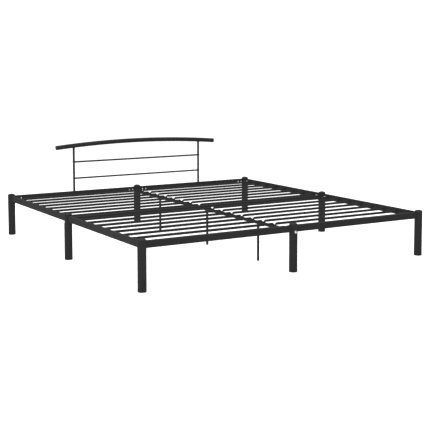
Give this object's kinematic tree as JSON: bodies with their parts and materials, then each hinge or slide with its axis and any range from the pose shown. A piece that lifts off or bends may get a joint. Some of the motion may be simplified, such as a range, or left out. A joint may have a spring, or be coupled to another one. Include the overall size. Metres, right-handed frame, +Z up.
{
  "type": "bed frame",
  "caption": "Low metal platform bed frame with round capped legs, box rails, round tube slats on a centre beam and an arched tube headboard.",
  "frame": {"origin": "on the floor, under the centre of the overall box", "axes": "+Z up, +Y towards the headboard, +X to the right seen from the foot end"},
  "size_m": [2.0454, 2.1454, 0.654],
  "materials": {
    "leg_coat": "matt powder coat",
    "rail_coat": "matt powder coat",
    "slat_coat": "matt powder coat",
    "black_plastic": "fine moulded grain",
    "zinc": "bright zinc plate",
    "dark_zinc": "black zinc plate",
    "bare_steel": "plain tube, not coated"
  },
  "bodies": {
    "root": {"leg_head_left": "leg_coat", "leg_head_right": "leg_coat", "leg_foot_left": "leg_coat", "leg_foot_right": "leg_coat", "leg_mid_left": "leg_coat", "leg_mid_right": "leg_coat", "leg_mid_head": "leg_coat", "leg_mid_foot": "leg_coat", "leg_caps": "black_plastic", "leg_feet": "black_plastic", "rail_head_left": "rail_coat", "rail_head_right": "rail_coat", "rail_foot_left": "rail_coat", "rail_foot_right": "rail_coat", "rail_left_foot": "rail_coat", "rail_left_head": "rail_coat", "rail_right_foot": "rail_coat", "rail_right_head": "rail_coat", "rail_bolts": "zinc", "leg_bolts": "zinc", "leg_bolt_nuts": "zinc", "cross_beam": "slat_coat", "cross_beam_saddles": "slat_coat", "cross_beam_bolt": "zinc", "cross_beam_nut": "zinc", "slat_01": "slat_coat", "slat_02": "slat_coat", "slat_03": "slat_coat", "slat_04": "slat_coat", "slat_05": "slat_coat", "slat_06": "slat_coat", "slat_07": "slat_coat", "slat_08": "slat_coat", "slat_09": "slat_coat", "slat_10": "slat_coat", "slat_11": "slat_coat", "slat_12": "slat_coat", "slat_13": "slat_coat", "slat_14": "slat_coat", "slat_15": "slat_coat", "slat_16": "slat_coat", "slat_bolts": "zinc", "slat_nuts": "zinc", "beam_foot_half": "slat_coat", "beam_head_half": "slat_coat", "beam_sleeve": "bare_steel", "support_leg_foot": "leg_coat", "support_leg_middle": "leg_coat", "support_leg_head": "leg_coat", "support_leg_bolts": "zinc", "support_leg_feet": "black_plastic", "headboard_arch": "leg_coat", "headboard_arch_caps": "black_plastic", "headboard_post_left": "leg_coat", "headboard_post_right": "leg_coat", "headboard_bar_lower": "leg_coat", "headboard_bar_upper": "leg_coat", "headboard_bar_screws": "dark_zinc", "headboard_bolts": "zinc"}
  },
  "joints": []
}
